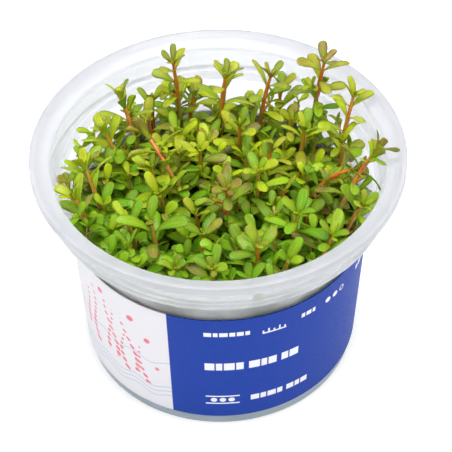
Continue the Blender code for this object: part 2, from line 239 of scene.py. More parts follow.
# The soft lamps: name, place, side in metres, and share of the key lamp's power
LAMPS = (
    ("key", (-0.17, -0.27, 0.53), 0.34, 1.0),
    ("fill", (0.40, -0.26, 0.36), 0.36, 0.4),
    ("top", (0.04, 0.05, 0.65), 0.40, 3.0),
)
FLOOR_RADIUS = 3.0
FLOOR_STEPS = 96


class CupSettings(bpy.types.PropertyGroup):
    """Colour, haze and smoothness of the moulded cup."""

    colour: FloatVectorProperty(
        name="Plastic colour", description="Tint of the translucent plastic",
        default=(0.90, 0.91, 0.955), size=3, min=0.0, max=1.0, subtype="COLOR",
    )
    milk: FloatProperty(
        name="Milk", description="Share of that tint left where the plastic is milky",
        default=0.70, min=0.0, max=1.0, subtype="FACTOR",
    )
    haze: FloatProperty(
        name="Haze", description="How much the plastic blurs what is behind it",
        default=0.46, min=0.0, max=1.0, subtype="FACTOR",
    )
    steps: IntProperty(name="Steps", description="Steps round the cup", default=180, min=24)


class BandSettings(bpy.types.PropertyGroup):
    """Inks of the printed band and where its pale part ends."""

    ink: FloatVectorProperty(
        name="Dark ink", description="Ground colour of the band's dark part",
        default=(0.007, 0.040, 0.29), size=3, min=0.0, max=1.0, subtype="COLOR",
    )
    paper: FloatVectorProperty(
        name="Paper", description="Colour of the band's pale part",
        default=(0.66, 0.655, 0.69), size=3, min=0.0, max=1.0, subtype="COLOR",
    )
    pale_from: FloatProperty(
        name="Pale part from", description="Angle from the front where the pale part starts",
        default=math.radians(-112.0), subtype="ANGLE",
    )
    pale_to: FloatProperty(
        name="Pale part to", description="Angle from the front where the pale part ends",
        default=math.radians(-20.3), subtype="ANGLE",
    )


class ShootSettings(bpy.types.PropertyGroup):
    """Leaf sizes and colours of the shoots."""

    leaf_length: FloatProperty(
        name="Leaf length", description="Length of a full-grown leaf",
        default=LEAF_LENGTH, subtype="DISTANCE", unit="LENGTH",
    )
    leaf_width: FloatProperty(
        name="Leaf width", description="Width of a full-grown leaf",
        default=LEAF_WIDTH, subtype="DISTANCE", unit="LENGTH",
    )
    young: FloatVectorProperty(
        name="Young leaf", description="Colour of leaves near the tips",
        default=(0.66, 0.80, 0.010), size=3, min=0.0, max=1.0, subtype="COLOR",
    )
    grown: FloatVectorProperty(
        name="Grown leaf", description="Colour of leaves lower down",
        default=(0.28, 0.66, 0.008), size=3, min=0.0, max=1.0, subtype="COLOR",
    )
    blush: FloatVectorProperty(
        name="Blush", description="Colour that reddish tips turn to",
        default=(0.36, 0.165, 0.075), size=3, min=0.0, max=1.0, subtype="COLOR",
    )
    red_stem: FloatVectorProperty(
        name="Stem", description="Colour of the stems near the tips",
        default=(0.52, 0.125, 0.012), size=3, min=0.0, max=1.0, subtype="COLOR",
    )


class StageSettings(bpy.types.PropertyGroup):
    """Brightness of the studio."""

    sky: FloatProperty(
        name="Sky", description="Strength of the even light from all round", default=0.62, min=0.0
    )
    key: FloatProperty(
        name="Key", description="Power of the main soft light", default=1.2, min=0.0,
        subtype="POWER", unit="POWER",
    )


class Board:
    """A material's node tree, with short calls for the nodes that the finishes share."""

    def __init__(self, name):
        self.material = bpy.data.materials.new(name)
        self.material.use_nodes = True
        self.tree = self.material.node_tree
        self.shader = self.tree.nodes["Principled BSDF"]
        self.surface = self.shader.outputs[0]

    def wire(self, socket, value):
        """Links a socket to another node's output, or sets it to a plain value or colour."""
        if isinstance(value, bpy.types.NodeSocket):
            self.tree.links.new(value, socket)
        elif socket.type == "RGBA":
            socket.default_value = (*value, 1.0)
        elif value is not None:
            socket.default_value = value

    def fill(self, node, **sockets):
        """Wires a node's inputs, by their names with _ for a space."""
        for name, value in sockets.items():
            self.wire(node.inputs[name.replace("_", " ")], value)
        return node

    def node(self, kind, **sockets):
        """A new node with its inputs wired."""
        return self.fill(self.tree.nodes.new(kind), **sockets)

    def math(self, operation, a, b=None, c=None):
        """One sum of up to three terms, such as a sine, a division or a maximum."""
        node = self.node("ShaderNodeMath")
        node.operation = operation
        for socket, value in zip(node.inputs, (a, b, c)):
            self.wire(socket, value)
        return node.outputs[0]

    def times(self, a, b):
        return self.math("MULTIPLY", a, b)

    def plus(self, a, b):
        return self.math("ADD", a, b)

    def minus(self, a, b):
        return self.math("SUBTRACT", a, b)

    def mix(self, share, a, b):
        """Colour a with this share of colour b in it."""
        node = self.node("ShaderNodeMix")
        node.data_type = "RGBA"
        self.wire(node.inputs["Factor"], share)
        colours = [socket for socket in node.inputs if socket.type == "RGBA"]
        for socket, value in zip(colours, (a, b)):
            self.wire(socket, value)
        return next(socket for socket in node.outputs if socket.type == "RGBA")

    def layered(self, colour, *layers):
        """A ground colour with more colours laid over it in turn, each by its own share."""
        for share, over in layers:
            colour = self.mix(share, colour, over)
        return colour

    def noise(self, vector, scale, detail=3.0):
        """Cloudy noise from 0 to 1, with this many patches to the metre."""
        node = self.node("ShaderNodeTexNoise", Vector=vector, Scale=scale, Detail=detail,
                         Roughness=0.55)
        return node.outputs["Fac"]

    def remap(self, value, low, high, to_low=0.0, to_high=1.0, smooth=True):
        """A value carried from one range to another and held there, eased at its ends."""
        node = self.node("ShaderNodeMapRange", Value=value, From_Min=low, From_Max=high,
                         To_Min=to_low, To_Max=to_high)
        node.interpolation_type = "SMOOTHSTEP" if smooth else "LINEAR"
        return node.outputs["Result"]

    def fade(self, value, low, high, most=1.0):
        """A share that falls from the most at low to nothing at high."""
        return self.remap(value, low, high, most, 0.0)

    def place(self):
        """The object's own coordinates, in metres."""
        return self.node("ShaderNodeTexCoord").outputs["Object"]

    def stretched(self, vector, scale):
        """Coordinates scaled by their own factor each way."""
        return self.node("ShaderNodeMapping", Vector=vector, Scale=scale).outputs["Vector"]

    def parts(self, vector):
        """The three parts of a vector."""
        return self.node("ShaderNodeSeparateXYZ", Vector=vector).outputs

    def attribute(self, name):
        """The three values that a mesh holds at each point under this name."""
        node = self.node("ShaderNodeAttribute")
        node.attribute_name = name
        return self.parts(node.outputs["Vector"])

    def bump(self, height, strength, distance):
        """Fine relief on the main shader, and the normal that it gives."""
        normal = self.node("ShaderNodeBump", Height=height, Strength=strength,
                           Distance=distance).outputs["Normal"]
        self.fill(self.shader, Normal=normal)
        return normal

    def blend_in(self, share, kind, **sockets):
        """Mixes a share of another shader into the surface."""
        other = self.node(kind, **sockets)
        blend = self.node("ShaderNodeMixShader")
        for socket, value in zip(blend.inputs, (share, self.surface, other.outputs[0])):
            self.wire(socket, value)
        self.surface = blend.outputs[0]
        self.fill(self.tree.nodes["Material Output"], Surface=self.surface)


def put(name, verts, faces, materials, slots=None, smooth=True):
    """Makes an object of arrays: verts (n, 3) and a list of (m, k) face arrays."""
    mesh = bpy.data.meshes.new(name)
    corners = np.concatenate([part.ravel() for part in faces]).astype(np.int32)
    sizes = np.concatenate([np.full(len(part), part.shape[1]) for part in faces])
    starts = np.concatenate([[0], np.cumsum(sizes)[:-1]]).astype(np.int32)
    mesh.vertices.add(len(verts))
    mesh.loops.add(len(corners))
    mesh.polygons.add(len(sizes))
    mesh.vertices.foreach_set("co", np.asarray(verts, np.float32).ravel())
    mesh.loops.foreach_set("vertex_index", corners)
    mesh.polygons.foreach_set("loop_start", starts)
    if slots is not None:
        mesh.polygons.foreach_set("material_index", np.asarray(slots, np.int32))
    for surface in materials:
        mesh.materials.append(surface)
    mesh.update(calc_edges=True)
    mesh.polygons.foreach_set("use_smooth", np.full(len(sizes), smooth))
    mesh.validate()
    made = bpy.data.objects.new(name, mesh)
    bpy.context.scene.collection.objects.link(made)
    return made


def rings(count, sides):
    """Numbers of the points in a stack of rings, the same turned on by one, and its quads."""
    index = np.arange(count * sides).reshape(count, sides)
    on = np.roll(index, -1, axis=1)
    quads = np.stack([index[:-1], on[:-1], on[1:], index[1:]], axis=-1).reshape(-1, 4)
    return index, on, quads


def rounded(profile, radius, samples=4):
    """Rounds each inner corner of a profile: a quadratic curve from radius before it to after it.

    The radius is cut to two fifths of the shorter side where the sides are short.
    """
    points = np.array(profile, float)
    before, at, after = points[:-2], points[1:-1], points[2:]
    back, forth = before - at, after - at
    back_length = np.linalg.norm(back, axis=1, keepdims=True)
    forth_length = np.linalg.norm(forth, axis=1, keepdims=True)
    reach = np.minimum(radius, 0.4 * np.minimum(back_length, forth_length))
    start, end = at + back / back_length * reach, at + forth / forth_length * reach
    t = np.linspace(0.0, 1.0, samples)[None, :, None]
    curve = (1 - t) ** 2 * start[:, None] + 2 * t * (1 - t) * at[:, None] + t**2 * end[:, None]
    return np.vstack([points[:1], curve.reshape(-1, 2), points[-1:]])


def turned(profile, steps, closed):
    """A surface of revolution: point (i, j) is (r_i cos a_j, r_i sin a_j, z_i).

    Open profiles start and end on the axis, where a row of points is one pole.
    """
    angle = np.linspace(0.0, 2.0 * np.pi, steps, endpoint=False)
    turning = profile if closed else profile[1:-1]
    r, z = turning[:, :1], turning[:, 1:]
    grid = np.stack([r * np.cos(angle), r * np.sin(angle), z + 0 * angle], axis=-1).reshape(-1, 3)
    index, on, quads = rings(len(r), steps)
    if closed:
        last = np.stack([index[-1], on[-1], on[0], index[0]], axis=-1)
        return grid, [np.vstack([quads, last])]
    poles = np.array([[0.0, 0.0, height] for height in (profile[0, 1], profile[-1, 1])])
    start = np.stack([np.full(steps, len(grid)), on[0], index[0]], axis=-1)
    end = np.stack([np.full(steps, len(grid) + 1), index[-1], on[-1]], axis=-1)
    return np.vstack([grid, poles]), [quads, start, end]


def wall_radius(height):
    """The body's outer radius, which widens upwards by the draft."""
    return FOOT_RADIUS + height * math.tan(DRAFT)


def shoulder(offset, degrees):
    """Points of the quarter-round flare from the body to the collar, offset into the wall."""
    turn = np.radians(degrees)
    start = wall_radius(SHOULDER_LOW) - offset
    reach, rise = SHOULDER_RADIUS - start, SHOULDER_RISE + offset
    points = np.stack([start + reach * (1 - np.cos(turn)), SHOULDER_LOW + rise * np.sin(turn)], -1)
    return [tuple(point) for point in points]


def cup_profile():
    """The cup's section: out along the underside, up the outside, over the rim, down the inside."""
    ring_inner = FOOT_RADIUS - FOOT_RING
    skirt_inner = RIM_RADIUS - RIM_THICK
    floor_radius = wall_radius(FLOOR_TOP) - WALL
    outside = [
        (0.0, FOOT_RECESS),
        (ring_inner, FOOT_RECESS),
        (ring_inner + BEVEL, 0.0),
        (FOOT_RADIUS - 0.3 * MM, 0.0),
        (FOOT_RADIUS, 0.5 * MM),
        (wall_radius(SHOULDER_LOW), SHOULDER_LOW),
        *shoulder(0.0, (15.0, 30.0, 45.0, 60.0, 75.0, 90.0)),
        (COLLAR_RADIUS, COLLAR_LOW),
        (COLLAR_RADIUS, COLLAR_LOW + BEVEL),
        (COLLAR_RADIUS - 0.3 * MM, COLLAR_LOW + 1.5 * MM),
        (COLLAR_RADIUS - 0.1 * MM, CUP_HEIGHT - MOUTH_DROP - RIM_THICK),
        (skirt_inner, CUP_HEIGHT - 2.0 * MM),
        (skirt_inner, CUP_HEIGHT - SKIRT),
        (RIM_RADIUS, CUP_HEIGHT - SKIRT),
        (RIM_RADIUS, CUP_HEIGHT),
    ]
    inside = [
        (RIM_RADIUS - 1.2 * MM, CUP_HEIGHT - 0.25 * MM),
        (0.5 * (RIM_RADIUS + MOUTH_RADIUS), CUP_HEIGHT - 0.45 * MOUTH_DROP),
        (MOUTH_RADIUS, CUP_HEIGHT - MOUTH_DROP),
        (MOUTH_RADIUS - 0.7 * MM, CUP_HEIGHT - MOUTH_DROP - 2.0 * MM),
        (SHOULDER_RADIUS - WALL, COLLAR_LOW - 0.9 * MM),
        *shoulder(WALL, (75.0, 60.0, 45.0, 30.0, 15.0)),
        (wall_radius(SHOULDER_LOW) - WALL, SHOULDER_LOW),
        (floor_radius, FLOOR_TOP + BEVEL),
        (floor_radius - BEVEL, FLOOR_TOP),
        (0.0, FLOOR_TOP),
    ]
    return rounded(outside + inside, CORNER)


def inner_radius(height):
    """How far from the axis a leaf may reach at these heights before it meets the cup.

    The wall flares as the power 2.2 of the way up the shoulder. Above the mouth nothing is in the
    way, and the answer is a metre.
    """
    flare = np.clip((height - SHOULDER_LOW) / (COLLAR_LOW - SHOULDER_LOW), 0.0, 1.0)
    widening = (MOUTH_RADIUS - wall_radius(SHOULDER_LOW) + WALL) * flare**2.2
    inside = wall_radius(height) - WALL + widening
    return np.where(height > CUP_HEIGHT - MOUTH_DROP, 1.0, inside)


def plastic(settings):
    """Moulded plastic that glows with light from behind, milky at the rim and clearer below it.

    Its tint is painted darker blue-grey at the foot as shade, and the collar is partly see-through.
    """
    board = Board("clear_plastic")
    place = board.place()
    up = board.parts(place)[2]
    clear = board.fade(up, *MILKY)
    cloud = board.noise(place, 60.0)
    grain = board.noise(place, 1300.0, 2.0)
    damp = board.remap(board.noise(place, 190.0), 0.38, 0.62)
    through = board.plus(board.remap(damp, 0.0, 1.0, -0.08, 0.06),
                         board.remap(clear, 0.0, 1.0, 0.60, 0.86))
    milk = tuple(settings.milk * c for c in settings.colour)
    # Painted shade: near the foot the tint is laid over with a darker blue-grey
    tint = board.layered(milk, (clear, settings.colour[:]),
                         (board.fade(up, *FOOT_SHADE_HEIGHTS, 0.85), FOOT_PAINTED_SHADE))
    hazy = board.remap(grain, 0.3, 0.7, settings.haze - 0.04, settings.haze + 0.05)
    board.fill(
        board.shader, Base_Color=tint, Roughness=board.minus(hazy, board.times(clear, 0.10)),
        IOR=1.49, Transmission_Weight=through, Coat_Weight=0.2, Coat_Roughness=0.16,
    )
    normal = board.bump(board.plus(board.times(cloud, 2.0), grain), 0.08, 0.12 * MM)
    board.blend_in(board.remap(clear, 0.0, 1.0, 0.22, 0.20), "ShaderNodeBsdfTranslucent",
                   Color=board.mix(clear, MILKY_GLOW, tint), Normal=normal)
    sheer = board.times(board.remap(up, *SHEER_LOW, 0.0, 0.42), board.fade(up, *SHEER_HIGH))
    board.blend_in(sheer, "ShaderNodeBsdfTransparent", Color=SHEER)
    return board.material


def gel_finish():
    """Cloudy set gel with brown root threads, a dark brown top, and greys partly painted shade."""
    board = Board("gel")
    place = board.place()
    threads = board.node("ShaderNodeTexVoronoi", Vector=place, Scale=330.0)
    threads.feature = "DISTANCE_TO_EDGE"
    root = board.fade(threads.outputs["Distance"], 0.02, 0.16)
    top = board.remap(board.parts(place)[2], GEL_HIGH - 2.0 * MM, GEL_HIGH - 0.4 * MM)
    murk = board.remap(board.noise(place, 150.0, 4.0), 0.35, 0.6)
    dark_top = board.layered(board.mix(murk, *DARK_TOP_BROWNS), (board.times(root, 0.8), ROOT_THREAD))
    # Below its darker brown top the gel's greys are partly painted shade, darkened for the cup's
    # foot
    board.fill(
        board.shader, Base_Color=board.mix(top, board.mix(murk, *GEL_GREYS_AND_PAINTED_SHADE), dark_top),
        Roughness=board.remap(murk, 0.0, 1.0, 0.22, 0.4), IOR=1.36, Coat_Weight=0.3,
    )
    board.bump(board.plus(murk, root), 0.5, 0.5 * MM)
    return board.material


def map_mm(degrees):
    """How far round the band's map an angle from the front lies."""
    return math.radians(degrees) * MAP_RADIUS


class BandPrint(Board):
    """The band's board: masks drawn in millimetres round from its front and up from the foot."""

    def __init__(self):
        super().__init__("printed_paper")
        where = self.node("ShaderNodeUVMap")
        where.uv_map = "band_mm"
        self.where = where.outputs["UV"]
        self.across, self.up, _ = self.parts(self.where)

    def any_of(self, shapes):
        """The union of masks."""
        whole = shapes[0]
        for shape in shapes[1:]:
            whole = self.math("MAXIMUM", whole, shape)
        return whole

    def inside(self, value, low, high):
        """A mask of the values between low and high, with soft edges."""
        return self.times(self.remap(value, low - SOFT_EDGE, low + SOFT_EDGE),
                          self.fade(value, high - SOFT_EDGE, high + SOFT_EDGE))

    def bar(self, left, right, low, high):
        """A plain upright rectangle."""
        return self.times(self.inside(self.across, left, right), self.inside(self.up, low, high))

    def away(self, x, y):
        """How long a step of x across and y up is: the root of the sum of their squares."""
        return self.math("SQRT", self.plus(self.times(x, x), self.times(y, y)))

    def disc(self, degrees, height, radius):
        """A round dot."""
        away = self.away(self.minus(self.across, map_mm(degrees)), self.minus(self.up, height))
        return self.fade(away, radius - SOFT_EDGE, radius + SOFT_EDGE)

    def blocks(self, degrees, widths, low, high):
        """A row of plain blocks with small gaps between. A width below 0 is a wider gap."""
        row, at = [], map_mm(degrees)
        for width in widths:
            if width > 0.0:
                row.append(self.bar(at, at + width, low, high))
            at += abs(width) + BLOCK_GAP
        return row

    def beads(self, degrees, lean, sway, low, high, size):
        """A swaying string of dots that runs up the band and gets finer.

        The string lies at its angle, plus lean times the height, plus a sway by the height's sine.
        """
        line = self.math("SINE", self.times(self.up, 0.22))
        line = self.math("MULTIPLY_ADD", line, sway, map_mm(degrees))
        line = self.math("MULTIPLY_ADD", self.up, lean, line)
        step = self.math("PINGPONG", self.math("MULTIPLY_ADD", self.across, 0.3, self.up), 1.15)
        away = self.away(self.minus(self.across, line), step)
        taper = self.remap(self.up, low, high, size, 0.45 * size, smooth=False)
        dot = self.fade(self.math("DIVIDE", away, taper), 0.85, 1.15)
        return self.times(dot, self.inside(self.up, low, high))


def printed(settings):
    """Coated paper: a pale part with a drop-and-ripple pattern, a dark part with plain marks."""
    board = BandPrint()
    blocks, disc = board.blocks, board.disc
    comb = map_mm(15.5)
    marked = board.any_of([
        *blocks(-6.5, (2.0, 1.2, 2.2, 1.5, 1.8, 1.2), 39.7, 41.3),
        board.bar(comb, map_mm(25.0), 38.9, 39.4),
        *[board.bar(comb + 1.5 * i, comb + 1.5 * i + 0.45, 38.9, 40.2 + 0.6 * (i % 2))
          for i in range(5)],
        *blocks(31.5, (1.1, 1.6, 0.9), 39.9, 41.5),
        *blocks(-6.5, (2.6, 1.7, 2.9, 2.0, -0.6, 3.0, 1.6, 2.3, -0.6, 2.0, 2.7), 25.2, 28.2),
        *[board.bar(map_mm(-6.5), map_mm(7.0), low, low + 0.5) for low in (9.9, 13.1)],
        *[disc(degrees, 11.75, 0.9) for degrees in (-3.2, 0.3, 3.8)],
        *blocks(11.5, (2.4, 1.6, 2.5, 1.6, -0.4, 2.3, 1.5, 2.2), 10.6, 12.8),
        *[disc(degrees, 40.6, 0.95) for degrees in (44.5, 48.6)],
        board.minus(disc(52.7, 40.6, 0.95), disc(52.7, 40.6, 0.62)),
        *blocks(64.0, (1.3, 2.0, 1.6, 1.9), 39.9, 41.6),
    ])
    ripple = board.math("SINE", board.times(board.across, 0.55))
    level = board.plus(board.up, board.times(ripple, 0.9))
    rippled = board.any_of([board.inside(level, low, low + 0.4) for low in (9.5, 11.4, 13.3, 24.0)])
    strings = (
        (-29.0, -0.10, 1.2, 13.0, 28.0, 0.8), (-33.5, -0.12, -1.4, 16.0, 36.0, 0.95),
        (-39.0, -0.05, 1.6, 14.0, 33.0, 0.85), (-44.5, -0.08, -1.2, 17.0, 40.0, 0.95),
        (-50.0, 0.04, 1.2, 18.0, 37.0, 0.85), (-56.0, -0.06, 1.5, 16.0, 41.0, 0.95),
        (-62.0, -0.04, 1.3, 20.0, 38.0, 0.9),
    )
    drops = ((-36.5, 38.5, 1.1), (-29.5, 32.0, 0.95), (-52.0, 41.5, 1.0), (-26.0, 21.0, 0.7))
    dropped = board.any_of([board.beads(*line) for line in strings]
                           + [disc(*drop) for drop in drops])

    wash = board.noise(board.stretched(board.where, (0.35, 0.35, 1.0)), 1.0)
    coral = board.mix(board.remap(wash, 0.3, 0.7), *CORAL_SHADES)
    pale = board.layered(settings.paper[:], (board.times(rippled, 0.75), RIPPLE_BLUE),
                         (board.times(dropped, 0.9), coral))
    lighter = tuple(1.25 * c for c in settings.ink)
    dark = board.layered(settings.ink[:], (board.remap(wash, 0.2, 0.8, 0.0, 0.25), lighter),
                         (marked, MARK_WHITE))
    is_pale = board.inside(board.across, settings.pale_from * MAP_RADIUS,
                           settings.pale_to * MAP_RADIUS)
    fibre = board.noise(board.place(), 1800.0, 2.0)
    board.fill(
        board.shader, Base_Color=board.mix(is_pale, dark, pale),
        Roughness=board.remap(fibre, 0.3, 0.7, 0.46, 0.58), Specular_IOR_Level=0.10,
    )
    board.bump(fibre, 0.08, 0.05 * MM)
    return board.material


def paper_back():
    """The band's plain uncoated side and edges."""
    board = Board("paper_back")
    fibre = board.noise(board.place(), 1500.0)
    board.fill(
        board.shader, Base_Color=board.mix(board.remap(fibre, 0.3, 0.7), *UNCOATED_SHADES),
        Roughness=board.remap(fibre, 0.3, 0.7, 0.7, 0.85),
    )
    board.bump(fibre, 0.1, 0.05 * MM)
    return board.material


def leaf_finish(settings):
    """Waxy leaf: green by age and painted light, blushed towards the tip, a pale midrib and edge,
    fine cells.

    The leaf_mark attribute holds how far along and across the blade a point is and the leaf's
    own random number; leaf_tone holds age with painted light, blush and withering.
    """
    board = Board("rotala_leaf")
    along, across, chance = board.attribute("leaf_mark")
    age, blush, wither = board.attribute("leaf_tone")
    place = board.place()
    cells = board.noise(place, 2600.0, 2.0)
    patch = board.noise(place, 420.0)
    middle = board.math("ABSOLUTE", across)
    veins = board.math("SINE", board.minus(board.times(along, 46.0), board.times(middle, 9.0)))
    blushed = board.times(board.times(blush, board.remap(along, 0.1, 0.9, 0.5, 1.0)),
                          board.remap(patch, 0.3, 0.65, 0.55, 1.0))
    rib = board.times(board.fade(middle, 0.03, 0.16, 0.45), board.remap(along, 0.6, 0.95, 1.0, 0.1))
    # The age tone also carries painted light: leaves towards the back come out lighter and
    # yellower, those at the front deeper green
    green = board.layered(
        settings.young[:],
        (board.remap(age, 0.0, 0.45), settings.grown[:]),
        (board.remap(age, 0.4, 1.0), tuple(0.5 * c for c in settings.grown)),
        (board.remap(chance, 0.35, 0.9, 0.0, 0.75), FRESH_LEAF),
        (board.remap(patch, 0.35, 0.7, 0.0, 0.4), YELLOWED_LEAF),
        (blushed, settings.blush[:]),
        (rib, LEAF_RIB),
        (board.remap(middle, 0.82, 1.0, 0.0, 0.4), LEAF_EDGE),
        (board.remap(veins, 0.5, 1.0, 0.0, 0.10), LEAF_VEIN),
        (board.remap(cells, 0.25, 0.75, 0.0, 0.14), CELL_SHADE),
        (wither, WITHERED_LEAF),
    )
    board.fill(
        board.shader, Base_Color=green,
        Roughness=board.remap(cells, 0.3, 0.7, 0.26, 0.40), Specular_IOR_Level=0.38,
    )
    relief = board.plus(board.times(cells, 0.6), board.times(veins, 0.25))
    board.blend_in(0.38, "ShaderNodeBsdfTranslucent", Color=board.mix(0.35, green, LEAF_GLOW),
                   Normal=board.bump(relief, 0.35, 0.12 * MM))
    return board.material


def stem_finish(settings):
    """Fleshy stem: orange-red near the tip, olive below, streaked lengthways."""
    board = Board("rotala_stem")
    depth, red, _ = board.attribute("leaf_tone")
    streak = board.noise(board.stretched(board.place(), (1500.0, 1500.0, 250.0)), 1.0, 2.0)
    olive = board.mix(board.remap(streak, 0.3, 0.7), *OLIVE_SHADES)
    warm = board.mix(board.remap(streak, 0.35, 0.75, 0.0, 0.6), settings.red_stem[:], AMBER_STEM)
    board.fill(
        board.shader, Coat_Weight=0.2, Roughness=board.remap(streak, 0.3, 0.7, 0.28, 0.42),
        Base_Color=board.layered(FRESH_STEM, (board.remap(red, 0.0, 0.5), warm),
                                 (board.remap(depth, 0.25, 0.9), olive)),
    )
    board.bump(streak, 0.4, 0.1 * MM)
    return board.material


def unit(vectors):
    """Vectors brought to length 1."""
    return vectors / np.linalg.norm(vectors, axis=-1, keepdims=True)


def spun(vector, axis, degrees):
    """A vector turned about a unit axis, by Rodrigues' formula."""
    turn = np.radians(degrees)
    return (vector * np.cos(turn) + np.cross(axis, vector) * np.sin(turn)
            + axis * np.dot(axis, vector) * (1.0 - np.cos(turn)))


def carried_side(side, upward):
    """The side direction turned square to a new upward direction, as a frame is carried along."""
    return unit(side - upward * np.dot(side, upward))


def lifted(outward, upward, degrees):
    """The direction that rises by this angle from outward towards upward."""
    lift = math.radians(degrees)
    return outward * math.cos(lift) + upward * math.sin(lift)


def curve(start, rise, bend, tip, t):
    """A cubic curve: u^3 start + 3 u^2 t rise + 3 u t^2 bend + t^3 tip, with u = 1 - t."""
    t = t[:, None]
    u = 1.0 - t
    return u**3 * start + 3 * u * u * t * rise + 3 * u * t * t * bend + t**3 * tip


def sway(draw, most):
    """An even random number up to the most each way."""
    return draw.uniform(-most, most)


class Stem:
    """A stem's centre line: a cubic curve up out of the gel, through the bend and to the tip."""

    def __init__(self, tip, bend):
        foot = np.array([bend[0], bend[1], 0.0]) * FOOT_PULL
        reach = np.linalg.norm(foot)
        if reach > FOOT_SPREAD:
            foot *= FOOT_SPREAD / reach
        foot[2] = GEL_HIGH + GAP
        rise = foot + np.array([0.0, 0.0, 0.5 * (bend[2] - foot[2])])
        self.points = curve(foot, rise, bend, tip, np.linspace(1.0, 0.0, STEM_SAMPLES + 1))
        steps = np.linalg.norm(np.diff(self.points, axis=0), axis=1)
        self.lengths = np.concatenate([[0.0], np.cumsum(steps)])

    def at(self, distance):
        """The point that lies this far below the tip, and the upward direction there."""
        distance = min(max(distance, 0.0), self.lengths[-1])
        i = int(np.clip(np.searchsorted(self.lengths, distance) - 1, 0, STEM_SAMPLES - 1))
        part = (distance - self.lengths[i]) / (self.lengths[i + 1] - self.lengths[i])
        point = self.points[i] * (1.0 - part) + self.points[i + 1] * part
        return point, unit(self.points[i] - self.points[i + 1])


def shoot_plans():
    """Yields tip, bend, leaf share, pair count and redness of each shoot, as the solids do."""
    for tip, bend, share, red in TALL_SHOOTS:
        yield np.array(tip) * MM, np.array(bend) * MM, share, TALL_PAIRS, red
    draw = random.Random(SEED)
    for step in range(SPIRAL_TURNS * SHOOT_COUNT):
        radius = CANOPY_RADIUS * math.sqrt((step % SHOOT_COUNT + 0.5) / SHOOT_COUNT)
        angle = step * GOLDEN_ANGLE + TURN_SHIFT * (step // SHOOT_COUNT)
        x = radius * math.cos(angle) + sway(draw, TIP_SWAY) * MM
        y = radius * math.sin(angle) + sway(draw, TIP_SWAY) * MM
        tip = np.array([x, y, CANOPY_HEIGHT + sway(draw, TIP_LIFT) * MM])
        lean = np.array([sway(draw, BEND_SWAY) * MM, sway(draw, BEND_SWAY) * MM, BEND_DEPTH])
        red = (step * 0.37) % 1.0 * 0.5
        yield tip, tip - lean, draw.uniform(0.85, 1.05), CANOPY_PAIRS, red


def node_points(name):
    """Every vertex of a solid, in metres."""
    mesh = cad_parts[name].data
    points = np.empty(len(mesh.vertices) * 3, np.float32)
    mesh.vertices.foreach_get("co", points)
    return points.reshape(-1, 3).astype(float)


def holds(points, wanted):
    """Whether a solid has a vertex at each of the wanted places."""
    away = np.linalg.norm(points[None] - np.atleast_2d(wanted)[:, None], axis=2)
    return bool((away.min(axis=1) < SAME_PLACE).all())


def leaf_outline(root, upward, outward, length, width, rise, swing):
    """The four outline points of a solid's leaf, which tell whether it was grown at this angle."""
    outward = spun(outward, upward, swing)
    across = unit(np.cross(upward, outward))
    middle = root + lifted(outward, upward, rise) * (LEAF_PARTS[0] * length)
    end = middle + lifted(outward, upward, rise - LEAF_ARCH) * (LEAF_PARTS[1] * length)
    half = 0.5 * width
    return np.array([middle + across * half, end + across * 0.6 * half,
                     end - across * 0.6 * half, middle - across * half])


# A leaf to be drawn: its root, the stem's upward direction there and the way out, its length and
# width, the angles that it rises and arches by, and its age, blush and withering from 0 to 1. The
# blades add painted light to the age, by the leaf's place from front to back
Leaf = namedtuple("Leaf", "root upward outward length width rise arch age blush wither")


